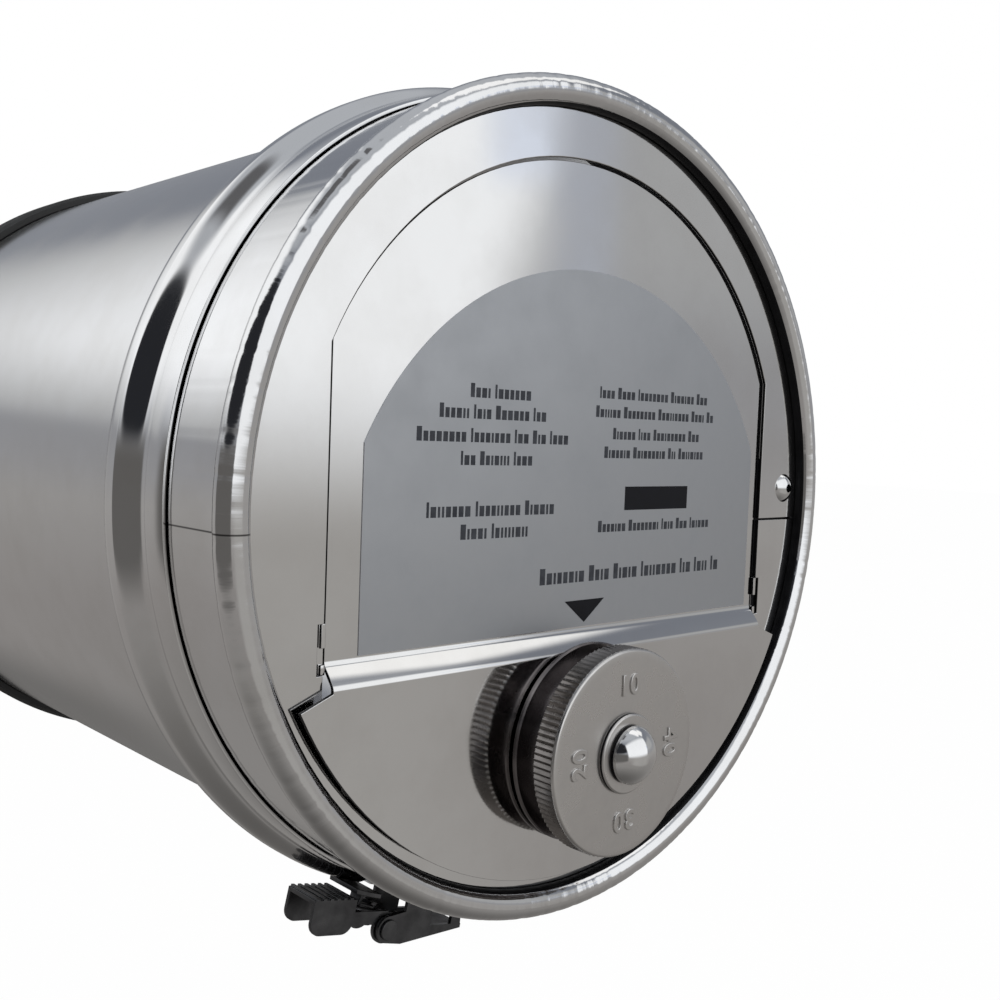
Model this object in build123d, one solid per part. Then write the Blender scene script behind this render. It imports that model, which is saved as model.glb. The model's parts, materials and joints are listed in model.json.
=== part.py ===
from build123d import *
import os
from math import asin, cos, degrees, pi, radians, sin, sqrt

# Draft regulator for a flue pipe, in millimetres.
# The flue axis is Y. The regulator's face looks along -Y, +Z is up and +X is to the right of the face.
# The origin is the centre of the spigot's open rear end, where the regulator enters the flue.

# Driving dimensions

# Flue tube and its seal
tube_r = 75.5
tube_wall = 0.6
tube_length = 190.0
flange_height = 1.3
spigot_length = 37.0
spigot_reduction = 1.0
seal_width = 12.0
seal_height = 2.4
seal_clearance = 0.05

# Regulator body: a short sleeve with a rolled bead in front
body_length = 25.0
body_wall = 0.6
bead_r = 2.7
bead_overhang = 1.1
bead_slit = 0.8

# Face plate with the opening for the flap
sheet = 0.8
face_recess = 0.5
rim_joggle = 0.8
rim_width = 1.15
ring_width = 7.68
side_land = 13.08
opening_clearance = 0.5
side_clearance = 0.8
opening_below_fold = 3.2
seam_width = 0.4
seam_z = -4.4
stop_r = 2.5
stop_inset = 8.1

# Flap
flap_recess = 0.9
flap_lift = 1.1
lower_flap_margin = 1.08
fold_below_pivot = 2.0
fold_height = 3.3
corner_reach = 5.8
flap_bend_r = 1.6

# Flap pivots
pivot_z = -22.0
pivot_depth = 5.2
pin_r = 1.5
pin_clearance = 0.05
pin_head_r = 2.2
pin_head = 0.7
ear_height = 7.0
ear_margin = 2.6
ear_gap = 0.3
bracket_gap = 0.6
bracket_width = 12.4
bracket_above_rivet = 6.5
bracket_below_pivot = 4.5
notch_above_pivot = 4.5
notch_below_pivot = 3.5
notch_width = 1.1
tab_upper = 3.8
tab_lower = 1.6
rivet_inset = 3.98
rivet_z = 2.5
rivet_head_r = 3.15
rivet_head = 1.5
rivet_r = 2.0

# Label on the upper flap
label_side_margin = 4.3
label_shift = 2.0
label_top_margin = 19.05
label_arch_rise = 32.75
label_thickness = 0.15
label_fold_gap = 0.7

# Counterweight knob on its stud
knob_below_fold = 16.9
knob_r = 19.0
knob_gap = 0.5
knob_flange_r = 18.6
knob_flange = 1.0
knob_waist_r = 16.4
knob_waist = 4.4
knurl_width = 4.5
knurl_depth = 0.45
knurl_teeth = 104
knob_front_chamfer = 0.6
stud_r = 3.0
stud_clearance = 0.05
stud_tail = 6.2
stud_into_cap = 2.6
nut_across_flats = 10.0
nut_height = 5.0
washer_r = 7.3
washer_thickness = 0.9
cap_r = 5.3
cap_rim = 1.2
cap_crown = 3.2

# Clamp band over the two flanges
band_wall = 0.6
band_clearance = 1.9
band_front_lip = 0.2
band_rear_lip = 0.3
band_front_length = 8.7
band_rear_length = 11.8
band_groove_front = 5.0
band_groove_rear = 2.0
band_groove_depth = 0.35
band_cone_rise = 0.65
band_front_rise = 0.35
band_crest_start = 2.5
band_crest_end = 4.0
band_rear_fall = 0.25
band_split_start = 6.5
band_split_width = 3.0

# Toggle latch, laid out along the band (s) and away from it (h) from the point where it touches
latch_angle = 13.0
latch_sheet = 0.8
lever_half_width = 4.4
cheek_gap = 0.2
lever_pivot_s = 9.1
lever_pivot_h = 5.5
bail_crank_s = 3.1
bail_crank_h = 0.8
knuckle_r = 2.9
base_knuckle_r = 2.5
crank_end_r = 1.6
handle_start = 17.0
handle_end = 26.5
handle_depth = 6.3
handle_corner = 2.4
neck_low = 2.3
neck_high = 4.8
rib_height = 0.35
rib_width = 0.7
rib_pitch = 1.5
rib_count = 6
lever_pin_r = 1.2
latch_pin_clearance = 0.05
lever_pin_head_r = 1.9
lever_pin_head = 0.5
bail_pin_r = 0.9
bail_wire_r = 0.7
bail_half_width = 2.7
bail_corner_r = 1.5
hook_clearance = 0.3
base_right = -9.2
base_left = 5.6
base_low_right = 5.9
base_low_left = 8.3
base_web_end = 4.4
base_toe = 1.0
window_s = -3.8
window_h = 3.7
window_length = 5.5
window_height = 2.8
floor_thickness = 0.9
seat_clearance = 0.05
base_floor_start = -8.6
base_floor_end = 0.8
keeper_start = 11.6
keeper_end = 17.6
tongue_foot = 13.4
tongue_top = 3.6
tongue_lean = 1.0
tongue_half_width = 1.6
latch_rivet_s = (-6.4, -1.6)
latch_rivet_r = 1.0
latch_rivet_head_r = 1.7
latch_rivet_head = 0.6
latch_rivet_back = 2.7

# Places worked out from the driving dimensions

flange_y = -tube_length
bead_y = flange_y - body_length
face_y = bead_y + face_recess
upper_flap_y = face_y + flap_recess
lower_flap_y = face_y - flap_lift - sheet
pivot_y = bead_y + pivot_depth
flange_r = tube_r + flange_height
body_r = tube_r - tube_wall + body_wall
bead_ring_r = body_r + bead_overhang - bead_r
rim_r = bead_ring_r - sqrt(bead_r**2 - (face_recess + rim_joggle) ** 2)
rim_inner_r = rim_r - rim_width
opening_r = rim_inner_r - ring_width
opening_half_width = rim_inner_r - side_land
flap_r = opening_r - opening_clearance
flap_half_width = opening_half_width - side_clearance
lower_flap_r = rim_inner_r - lower_flap_margin
fold_top = pivot_z - fold_below_pivot
fold_bottom = fold_top - fold_height
opening_bottom = fold_bottom - opening_below_fold
notch_top = pivot_z + notch_above_pivot
notch_bottom = pivot_z - notch_below_pivot
stop_x = opening_half_width - stop_inset
rivet_x = rim_inner_r - rivet_inset
label_half_width = flap_half_width - label_side_margin
label_top = flap_r - label_top_margin
label_shoulder = label_top - label_arch_rise
knob_z = fold_bottom - knob_below_fold
crest_r = flange_r + band_clearance + band_wall
knob_back_y = lower_flap_y - knob_gap
knurl_back_y = knob_back_y - knob_flange - knob_waist
knob_front_y = knurl_back_y - knurl_width - knob_front_chamfer
seal_y = -spigot_length - seal_width
ear_x = flap_half_width - ear_gap - sheet
bracket_ear_x = ear_x + sheet + bracket_gap
latch_y = flange_y
bail_pivot_s = lever_pivot_s - bail_crank_s
bail_pivot_h = lever_pivot_h - bail_crank_h
cheek_outer = lever_half_width + cheek_gap
base_half_width = cheek_outer + latch_sheet


def turned(profile):
    """A solid turned about the flue axis from a profile with radius as X and length as Y."""
    return revolve(profile, Axis.Y)


def strip(r_low, r_high, y_low, y_high):
    """A rectangle of a turned profile."""
    return Pos((r_low + r_high) / 2, (y_low + y_high) / 2) * Rectangle(r_high - r_low, y_high - y_low)


def face_plane(y):
    """A plane that looks out of the face at y, with sketches in X and Z."""
    return Plane((0, y, 0), x_dir=(1, 0, 0), z_dir=(0, -1, 0))


def sheet_metal(outline, y_front, thickness):
    """A flat sheet with its outline in X and Z, from its front face backwards."""
    return extrude(face_plane(y_front) * outline, -thickness)


def rod(x, z, radius, y_front, y_back):
    """A round rod along Y."""
    return sheet_metal(Pos(x, z) * Circle(radius), y_front, y_back - y_front)


def block(x_low, x_high, y_low, y_high, z_low, z_high):
    """A box given by its limits."""
    centre = Pos((x_low + x_high) / 2, (y_low + y_high) / 2, (z_low + z_high) / 2)
    return centre * Box(x_high - x_low, y_high - y_low, z_high - z_low)


def cross_rod(x_low, x_high, y, z, radius):
    """A round rod along X."""
    length = x_high - x_low
    return Pos((x_low + x_high) / 2, y, z) * Rot(0, 90, 0) * Cylinder(radius, length)


def mirrored(shape):
    """The same shape on the other side of the face."""
    return mirror(shape, Plane.YZ)


# Flue tube, its seal and the regulator body

def flue_tube():
    wall = strip(tube_r - tube_wall, tube_r, flange_y, -spigot_length)
    flange = strip(tube_r - tube_wall, flange_r, flange_y, flange_y + tube_wall)
    spigot_r = tube_r - spigot_reduction
    shoulder = strip(spigot_r - tube_wall, tube_r, -spigot_length - tube_wall, -spigot_length)
    spigot = strip(spigot_r - tube_wall, spigot_r, -spigot_length - tube_wall, 0)
    return turned(wall + flange + shoulder + spigot)


def spigot_seal():
    inner = tube_r + seal_clearance
    outer = tube_r + seal_height
    section = strip(inner, outer, seal_y, seal_y + seal_width)
    return turned(fillet(section.vertices().sort_by(Axis.X)[-2:], seal_height * 0.45))


def regulator_body():
    wall = strip(body_r - body_wall, body_r, bead_y + bead_r - body_wall, flange_y)
    flange = strip(body_r - body_wall, flange_r, flange_y - body_wall, flange_y)
    bead = Pos(bead_ring_r, bead_y) * (Circle(bead_r) - Circle(bead_r - body_wall))
    slit_y = bead_y + bead_r
    slit = strip(bead_ring_r - bead_slit, bead_ring_r, slit_y - 2 * body_wall, slit_y + body_wall)
    return turned(wall + flange + (bead - slit))


# Face plate and flap

def chord_height(radius, half_width):
    """How high a circle is where it meets a vertical line."""
    return sqrt(radius**2 - half_width**2)


def rounded_door(radius, half_width, bottom):
    """A round-topped outline with straight sides, down to a level bottom."""
    side_top = chord_height(radius, half_width)
    edges = [
        Line((-half_width, bottom), (half_width, bottom)),
        Line((half_width, bottom), (half_width, side_top)),
        ThreePointArc((half_width, side_top), (0, radius), (-half_width, side_top)),
        Line((-half_width, side_top), (-half_width, bottom)),
    ]
    return make_face(Curve() + edges)


def face_plate():
    disc = sheet_metal(Circle(rim_inner_r + sheet), face_y, sheet)
    rim = strip(rim_inner_r, rim_r, face_y + rim_joggle, face_y + rim_joggle + sheet)
    step = strip(rim_inner_r, rim_inner_r + sheet, face_y, face_y + rim_joggle + sheet)
    plate = disc + turned(rim + step)
    opening = Circle(opening_r) & Rectangle(2 * opening_half_width, 2 * opening_r)
    opening += Pos(0, opening_bottom / 2) * Rectangle(2 * opening_half_width, -opening_bottom)
    notch_height = notch_top - notch_bottom
    notch_span = 2 * (opening_half_width + notch_width)
    opening += Pos(0, (notch_top + notch_bottom) / 2) * Rectangle(notch_span, notch_height)
    plate -= sheet_metal(opening, face_y - sheet, 4 * sheet)
    plate -= block(flap_half_width, rim_r + sheet, face_y - sheet, face_y + 4 * sheet,
                   seam_z - seam_width / 2, seam_z + seam_width / 2)
    plate -= rod(rivet_x, rivet_z, rivet_r, face_y - sheet, face_y + 2 * sheet)
    stop_z = -sqrt(((opening_r + lower_flap_r) / 2) ** 2 - stop_x**2)
    for x in (-stop_x, stop_x):
        plate += rod(x, stop_z, stop_r, face_y - flap_lift, face_y + sheet / 2)
    return plate


def lower_flap_outline():
    corner_x = flap_half_width + corner_reach
    corner_z = -chord_height(lower_flap_r, corner_x)
    top = fold_bottom - sheet
    edges = [
        Line((-flap_half_width, top), (flap_half_width, top)),
        Line((flap_half_width, top), (corner_x, corner_z)),
        ThreePointArc((corner_x, corner_z), (0, -lower_flap_r), (-corner_x, corner_z)),
        Line((-corner_x, corner_z), (-flap_half_width, top)),
    ]
    return make_face(Curve() + edges)


def fold_strip():
    """The sloping strip of the fold, with a small roll at both bends."""
    profile = Polyline(
        (upper_flap_y, fold_top + sheet),
        (upper_flap_y, fold_top),
        (lower_flap_y, fold_bottom),
        (lower_flap_y, fold_bottom - sheet),
        (lower_flap_y + sheet, fold_bottom - sheet),
        (lower_flap_y + sheet, fold_bottom),
        (upper_flap_y + sheet, fold_top),
        (upper_flap_y + sheet, fold_top + sheet),
        close=True,
    )
    section = make_face(profile)
    bends = [v for v in section.vertices() if fold_bottom - sheet / 2 < v.Y < fold_top + sheet / 2]
    side = Plane((-flap_half_width, 0, 0), x_dir=(0, 1, 0), z_dir=(1, 0, 0))
    return extrude(side * fillet(bends, flap_bend_r), 2 * flap_half_width)


def flap_ear(side):
    """The ear that is bent back from the flap's side and carries a pivot pin."""
    ear_back = pivot_y + ear_margin
    low, high = pivot_z - ear_margin, pivot_z - ear_margin + ear_height
    x_low, x_high = sorted((side * ear_x, side * (ear_x + sheet)))
    ear = block(x_low, x_high, upper_flap_y, ear_back, low, high)
    hole = cross_rod(x_low - sheet, x_high + sheet, pivot_y, pivot_z, pin_r)
    return ear - hole


def flap_plate():
    door = rounded_door(flap_r, flap_half_width, fold_top + sheet)
    upper = sheet_metal(door, upper_flap_y, sheet)
    lower = sheet_metal(lower_flap_outline(), lower_flap_y, sheet)
    flap = upper + fold_strip() + lower
    for side in (-1, 1):
        flap += flap_ear(side)
    return flap - rod(0, knob_z, stud_r, lower_flap_y - sheet, lower_flap_y + 2 * sheet)


def pivot_pins():
    """Two headed pins, riveted in the flap's ears and free in the brackets."""
    outer_end = bracket_ear_x + 2 * sheet
    pin = cross_rod(ear_x, outer_end, pivot_y, pivot_z, pin_r)
    pin += cross_rod(ear_x - pin_head, ear_x, pivot_y, pivot_z, pin_head_r)
    return Compound([pin, mirrored(pin)])


def pivot_bracket():
    """A strip behind the face plate, with an ear bent back for the pivot pin."""
    back_y = face_y + sheet
    strap = block(bracket_ear_x, bracket_ear_x + bracket_width, back_y, back_y + sheet,
                  pivot_z - bracket_below_pivot, rivet_z + bracket_above_rivet)
    ear_back = pivot_y + ear_margin
    ear_low, ear_high = pivot_z - ear_margin, pivot_z + ear_margin
    ear = block(bracket_ear_x, bracket_ear_x + sheet, back_y, ear_back, ear_low, ear_high)
    front = face_y + sheet / 4
    upper_tab = block(bracket_ear_x, bracket_ear_x + sheet, front, back_y,
                      notch_top - tab_upper, notch_top)
    lower_tab = block(bracket_ear_x, bracket_ear_x + sheet, front, back_y,
                      notch_bottom, notch_bottom + tab_lower)
    hole = cross_rod(bracket_ear_x - sheet, bracket_ear_x + 2 * sheet, pivot_y, pivot_z,
                     pin_r + pin_clearance)
    clear_of_rim = rod(0, 0, rim_inner_r - ear_gap, face_y, ear_back)
    return ((strap & clear_of_rim) + ear + upper_tab + lower_tab) - hole


def right_bracket():
    return pivot_bracket() - rod(rivet_x, rivet_z, rivet_r, face_y, face_y + 3 * sheet)


def dome(radius, height):
    """A flat-bottomed round cap, as a solid that stands on the XY plane."""
    ball_r = (radius**2 + height**2) / (2 * height)
    ball = Pos(0, 0, height - ball_r) * Sphere(ball_r)
    return ball & (Pos(0, 0, height / 2) * Box(2 * ball_r, 2 * ball_r, height))


def bracket_rivet():
    head = face_plane(face_y) * Pos(rivet_x, rivet_z, 0) * dome(rivet_head_r, rivet_head)
    return head + rod(rivet_x, rivet_z, rivet_r, face_y, face_y + 2 * sheet)


def label_plate():
    """A foil with straight sides, and an arched top that runs down into them."""
    rise = label_top - label_shoulder
    arch_r = (label_half_width**2 + rise**2) / (2 * rise)
    middle = 0.5 * label_half_width
    middle_z = label_top - arch_r + sqrt(arch_r**2 - middle**2)
    bottom = fold_top + label_fold_gap
    edges = [
        Line((-label_half_width, bottom), (label_half_width, bottom)),
        Line((label_half_width, bottom), (label_half_width, label_shoulder)),
        ThreePointArc((label_half_width, label_shoulder), (middle, middle_z), (0, label_top)),
        ThreePointArc((0, label_top), (-middle, middle_z), (-label_half_width, label_shoulder)),
        Line((-label_half_width, label_shoulder), (-label_half_width, bottom)),
    ]
    foil = Pos(label_shift, 0) * make_face(Curve() + edges)
    return sheet_metal(foil, upper_flap_y - label_thickness, label_thickness)


# Counterweight

def knurled_outline():
    """A circle with fine straight teeth."""
    step = 2 * pi / knurl_teeth
    points = []
    for tooth in range(knurl_teeth):
        for turn, radius in ((0, knob_r), (0.5, knob_r - knurl_depth)):
            angle = (tooth + turn) * step
            points.append((radius * cos(angle), radius * sin(angle)))
    return make_face(Polyline(*points, close=True))


def weight_knob():
    front = knob_front_y + knob_front_chamfer
    place = Pos(0, knob_z)
    knob = sheet_metal(place * knurled_outline(), front, knurl_width)
    face_r = knob_r - knurl_depth
    nose = sheet_metal(place * Circle(face_r), knob_front_y, knob_front_chamfer)
    knob += chamfer(nose.edges().group_by(Axis.Y)[0], knob_front_chamfer * 0.7)
    knob += rod(0, knob_z, knob_waist_r, front, knob_back_y)
    knob += rod(0, knob_z, knob_flange_r, knob_back_y - knob_flange, knob_back_y)
    return knob - rod(0, knob_z, stud_r + stud_clearance, knob_front_y - 1, knob_back_y + 1)


def weight_stud():
    tip = knob_front_y - washer_thickness - stud_into_cap
    return rod(0, knob_z, stud_r, tip, lower_flap_y + sheet + stud_tail)


def stud_nut():
    hexagon = RegularPolygon(nut_across_flats / 2, 6, major_radius=False)
    hexagon -= Circle(stud_r + stud_clearance)
    nut = sheet_metal(Pos(0, knob_z) * hexagon, lower_flap_y + sheet, nut_height)
    return nut


def knob_washer():
    ring = Circle(washer_r) - Circle(stud_r + stud_clearance)
    return sheet_metal(Pos(0, knob_z) * ring, knob_front_y - washer_thickness, washer_thickness)


def knob_cap():
    seat_y = knob_front_y - washer_thickness
    rim = rod(0, knob_z, cap_r, seat_y - cap_rim, seat_y)
    crown = face_plane(seat_y - cap_rim) * Pos(0, knob_z, 0) * dome(cap_r, cap_crown)
    bore_end = seat_y - stud_into_cap - stud_clearance
    return rim + crown - rod(0, knob_z, stud_r + stud_clearance, bore_end, seat_y)


# Clamp band and its toggle latch

def latch_plane(offset):
    """The latch's side plane: s along the band to the left, h away from it, offset towards the face."""
    angle = radians(latch_angle)
    along = (-cos(angle), 0, sin(angle))
    origin = (-crest_r * sin(angle), latch_y - offset, -crest_r * cos(angle))
    return Plane(origin, x_dir=along, z_dir=(0, -1, 0))


def across(outline, low, high):
    """A latch piece with its outline in s and h, between two offsets from the latch's middle."""
    return extrude(latch_plane(low) * outline, high - low)


def both_sides(outline, inner, outer):
    """A pair of cheeks with one outline."""
    return across(outline, inner, outer) + across(outline, -outer, -inner)


def span(s_low, s_high, h_low, h_high):
    """A rectangle in s and h."""
    return Pos((s_low + s_high) / 2, (h_low + h_high) / 2) * Rectangle(s_high - s_low, h_high - h_low)


def disc(s, h, radius):
    """A circle in s and h."""
    return Pos(s, h) * Circle(radius)


def bar(start, end, half_width):
    """A straight bar between two points in s and h."""
    (s_a, h_a), (s_b, h_b) = start, end
    length = sqrt((s_b - s_a) ** 2 + (h_b - h_a) ** 2)
    turn = degrees(asin((h_b - h_a) / length))
    if s_b < s_a:
        turn = 180 - turn
    return Pos((s_a + s_b) / 2, (h_a + h_b) / 2) * Rot(0, 0, turn) * Rectangle(length, 2 * half_width)


def band_floor(s_low, s_high, half_width, root=0.0):
    """A strip of sheet that lies on the band's crest, or reaches root deeper before it is cut to it."""
    inner = crest_r + seat_clearance
    ring = Pos(0, -crest_r) * (Circle(inner + floor_thickness) - Circle(inner - root))
    return across(ring & span(s_low, s_high, -crest_r / 2, crest_r / 2), -half_width, half_width)


def band_outline():
    """The band's outer line, from its front lip over the groove and crest to its rear lip."""
    lip_front = body_r + band_front_lip + band_wall
    lip_rear = tube_r + band_rear_lip + band_wall
    front, rear = flange_y - band_front_length, flange_y + band_rear_length
    groove_front, groove_rear = flange_y - band_groove_front, flange_y - band_groove_rear
    ridge = lip_front + band_cone_rise
    groove = ridge - band_groove_depth
    groove_middle = (groove_front + groove_rear) / 2
    crest_front, crest_rear = flange_y + band_crest_start, flange_y + band_crest_end
    return [
        Line((lip_front, front), (ridge, groove_front)),
        Line((ridge, groove_front), (groove, groove_middle)),
        Line((groove, groove_middle), (ridge, groove_rear)),
        Spline((ridge, groove_rear), (crest_r, crest_front), tangents=((band_front_rise, 1), (0, 1))),
        Line((crest_r, crest_front), (crest_r, crest_rear)),
        Spline((crest_r, crest_rear), (lip_rear, rear), tangents=((0, 1), (-band_rear_fall, 1))),
    ]


def clamp_band():
    outer = Curve() + band_outline()
    inner = Pos(-band_wall, 0) * outer
    ends = [Line(outer @ 0, inner @ 0), Line(outer @ 1, inner @ 1)]
    band = turned(make_face(outer.edges() + inner.edges() + Curve(ends).edges()))
    split_end = band_split_start + band_split_width
    reach = band_front_length + band_rear_length
    band -= across(span(band_split_start, split_end, -3 * bead_r, bead_r), -reach, reach)
    for s in latch_rivet_s:
        band -= latch_rivet_shank(s, band_wall)
    return band


def latch_rivet_seat(s):
    """The place of a rivet's head on the latch base's floor, square to the band."""
    floor_r = crest_r + seat_clearance + floor_thickness
    turn = asin(s / floor_r)
    place = Pos(s, floor_r * cos(turn) - crest_r, 0) * Rot(0, 0, -degrees(turn))
    return latch_plane(-latch_rivet_back) * place * Rot(-90, 0, 0)


def latch_rivet_shank(s, extra=0.0):
    """The shank through the floor and the band, longer by extra at both ends to cut its hole."""
    length = floor_thickness + seat_clearance + band_wall
    return latch_rivet_seat(s) * Pos(0, 0, -length / 2) * Cylinder(latch_rivet_r, length + 2 * extra)


def latch_rivet(s):
    return latch_rivet_shank(s) + latch_rivet_seat(s) * dome(latch_rivet_head_r, latch_rivet_head)


def latch_rivets():
    return Compound([latch_rivet(s) for s in latch_rivet_s])


def latch_base():
    """The bracket on the band's right end: two cheeks, a sloping outer web and a floor on the band."""
    cheek = make_face(Polyline(
        (base_right + base_toe, -band_wall), (base_right, base_low_right), (base_left, base_low_left),
        (lever_pivot_s, lever_pivot_h + base_knuckle_r),
        (lever_pivot_s, lever_pivot_h - base_knuckle_r), (base_left, neck_low), (base_left, -band_wall),
        close=True))
    cheek += disc(lever_pivot_s, lever_pivot_h, base_knuckle_r)
    cheek -= disc(lever_pivot_s, lever_pivot_h, lever_pin_r)
    cheek -= Pos(window_s, window_h) * Rectangle(window_length, window_height)
    base = both_sides(cheek, cheek_outer, base_half_width)
    slope = (base_low_left - base_low_right) / (base_left - base_right)
    web_end_low = base_low_right + slope * (base_web_end - base_right)
    web = make_face(Polyline(
        (base_right, base_low_right), (base_web_end, web_end_low),
        (base_web_end, web_end_low - latch_sheet), (base_right, base_low_right - latch_sheet),
        close=True))
    base += across(web, -base_half_width, base_half_width)
    base += band_floor(base_floor_start, base_floor_end, cheek_outer + latch_sheet / 2, band_wall / 2)
    base -= across(disc(0, -crest_r, crest_r + seat_clearance), -2 * base_half_width, 2 * base_half_width)
    for s in latch_rivet_s:
        base -= latch_rivet_shank(s, band_wall)
    return base


def latch_lever():
    """The stamped lever: two cheeks from the crank past the pivot to the handle, and a ribbed web."""
    pivot = (lever_pivot_s, lever_pivot_h)
    crank = (bail_pivot_s, bail_pivot_h)
    cheek = disc(*pivot, knuckle_r) + disc(*crank, crank_end_r) + bar(crank, pivot, crank_end_r)
    cheek += span(lever_pivot_s, handle_start + handle_corner, neck_low, neck_high)
    handle = span(handle_start, handle_end, latch_sheet / 2, handle_depth)
    low_corners = handle.vertices().group_by(Axis.Y)[-1]
    cheek += fillet(low_corners, handle_corner)
    cheek -= disc(*pivot, lever_pin_r + latch_pin_clearance)
    cheek -= disc(*crank, bail_pin_r)
    lever = both_sides(cheek, lever_half_width - latch_sheet, lever_half_width)
    lever += across(span(handle_start, handle_end, 0, latch_sheet), -lever_half_width, lever_half_width)
    for rib in range(rib_count):
        s = handle_end - rib_pitch * (rib + 0.5)
        ridge = span(s - rib_width / 2, s + rib_width / 2, -rib_height, latch_sheet / 2)
        lever += across(ridge, -lever_half_width, lever_half_width)
    return lever


def lever_pins():
    """Two stub pins, riveted in the base's cheeks, on which the lever turns."""
    inner = lever_half_width - latch_sheet
    shank = disc(lever_pivot_s, lever_pivot_h, lever_pin_r)
    head = disc(lever_pivot_s, lever_pivot_h, lever_pin_head_r)
    front = across(shank, inner, base_half_width)
    front += across(head, base_half_width, base_half_width + lever_pin_head)
    back = across(shank, -base_half_width, -inner)
    back += across(head, -base_half_width - lever_pin_head, -base_half_width)
    return Compound([front, back])


def bail_pin():
    return across(disc(bail_pivot_s, bail_pivot_h, bail_pin_r), -lever_half_width, lever_half_width)


def tongue_lean_angle():
    return degrees(asin(tongue_lean / sqrt(tongue_lean**2 + (tongue_top - floor_thickness) ** 2)))


def hook_point():
    """Where the bail's cross wire lies, just behind the keeper's leaning tongue."""
    h = (tongue_top + floor_thickness) / 2
    face_s = tongue_foot + latch_sheet + tongue_lean / 2
    return face_s + (bail_wire_r + hook_clearance) / cos(radians(tongue_lean_angle())), h


def latch_bail():
    """A wire bail with an eye at each end, from the lever's crank round the keeper's tongue."""
    crank = (bail_pivot_s, bail_pivot_h)
    hook = hook_point()
    eye = disc(*crank, crank_end_r) - disc(*crank, bail_pin_r + latch_pin_clearance)
    bail = both_sides(eye, bail_half_width - bail_wire_r, bail_half_width + bail_wire_r)
    reach = sqrt((hook[0] - crank[0]) ** 2 + (hook[1] - crank[1]) ** 2)
    start = (crank_end_r + bail_pin_r + latch_pin_clearance) / 2 / reach
    foot = [c + start * (e - c) for c, e in zip(crank, hook)]
    front, back = latch_plane(bail_half_width), latch_plane(-bail_half_width)
    route = FilletPolyline(
        front.from_local_coords((*foot, 0)), front.from_local_coords((*hook, 0)),
        back.from_local_coords((*hook, 0)), back.from_local_coords((*foot, 0)),
        radius=bail_corner_r)
    bail += sweep(Plane(route @ 0, z_dir=route % 0) * Circle(bail_wire_r), route)
    bore = disc(*crank, bail_pin_r + latch_pin_clearance)
    return bail - across(bore, -bail_half_width - 1, bail_half_width + 1)


def latch_keeper():
    """The hook on the band's left end: a floor on the band and a leaning tongue."""
    keeper = band_floor(keeper_start, keeper_end, lever_half_width)
    foot_h = -crest_r + sqrt((crest_r + floor_thickness / 2) ** 2 - tongue_foot**2)
    tongue = make_face(Polyline(
        (tongue_foot, foot_h), (tongue_foot + latch_sheet, foot_h),
        (tongue_foot + latch_sheet, floor_thickness),
        (tongue_foot + latch_sheet + tongue_lean, tongue_top),
        (tongue_foot + tongue_lean, tongue_top), (tongue_foot, floor_thickness), close=True))
    return keeper + across(tongue, -tongue_half_width, tongue_half_width)


parts = {
    "flue_tube": flue_tube(),
    "spigot_seal": spigot_seal(),
    "regulator_body": regulator_body(),
    "face_plate": face_plate(),
    "pivot_bracket_right": right_bracket(),
    "pivot_bracket_left": mirrored(pivot_bracket()),
    "bracket_rivet": bracket_rivet(),
    "flap_plate": flap_plate(),
    "pivot_pins": pivot_pins(),
    "label_plate": label_plate(),
    "weight_stud": weight_stud(),
    "stud_nut": stud_nut(),
    "weight_knob": weight_knob(),
    "knob_washer": knob_washer(),
    "knob_cap": knob_cap(),
    "clamp_band": clamp_band(),
    "latch_base": latch_base(),
    "latch_rivets": latch_rivets(),
    "latch_lever": latch_lever(),
    "lever_pins": lever_pins(),
    "bail_pin": bail_pin(),
    "latch_bail": latch_bail(),
    "latch_keeper": latch_keeper(),
}

os.makedirs("parts", exist_ok=True)
for name, shape in parts.items():
    export_step(shape, f"parts/{name}.step")
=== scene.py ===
import json
import random
from math import atan2, cos, exp, hypot, pi, radians, sin, sqrt

import bpy
from mathutils import Matrix, Vector

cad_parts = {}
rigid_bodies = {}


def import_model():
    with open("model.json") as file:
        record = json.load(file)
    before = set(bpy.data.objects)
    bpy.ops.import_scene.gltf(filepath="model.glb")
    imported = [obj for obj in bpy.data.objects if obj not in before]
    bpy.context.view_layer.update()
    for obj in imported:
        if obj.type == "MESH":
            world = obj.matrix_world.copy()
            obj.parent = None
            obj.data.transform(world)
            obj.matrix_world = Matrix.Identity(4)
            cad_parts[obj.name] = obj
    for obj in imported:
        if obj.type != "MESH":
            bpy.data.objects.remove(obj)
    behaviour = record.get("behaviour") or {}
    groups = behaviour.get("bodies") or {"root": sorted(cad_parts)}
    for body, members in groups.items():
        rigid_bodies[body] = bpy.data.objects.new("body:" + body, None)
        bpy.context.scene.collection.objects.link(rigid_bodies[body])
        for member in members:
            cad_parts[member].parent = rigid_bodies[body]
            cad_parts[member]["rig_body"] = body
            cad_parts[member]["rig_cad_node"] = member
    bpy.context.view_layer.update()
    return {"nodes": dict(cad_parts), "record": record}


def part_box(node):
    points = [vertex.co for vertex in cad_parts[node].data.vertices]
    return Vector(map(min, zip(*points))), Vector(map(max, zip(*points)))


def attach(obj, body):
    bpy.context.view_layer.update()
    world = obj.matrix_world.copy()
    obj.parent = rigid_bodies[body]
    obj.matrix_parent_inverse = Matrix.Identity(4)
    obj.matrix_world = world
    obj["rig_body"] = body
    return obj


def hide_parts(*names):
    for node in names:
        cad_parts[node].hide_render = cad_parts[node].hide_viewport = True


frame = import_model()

# Draft regulator for a flue pipe: polished sheet, a folded flap with a printed foil, a knurled weight and
# a latch. All sizes are in metres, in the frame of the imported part: the face looks along -Y and +Z is up.

MM = 0.001
nodes = frame["nodes"]
mounts = {mount["name"]: mount for mount in frame["record"]["mounts"]}
upright = (pi / 2, 0, 0)

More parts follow.
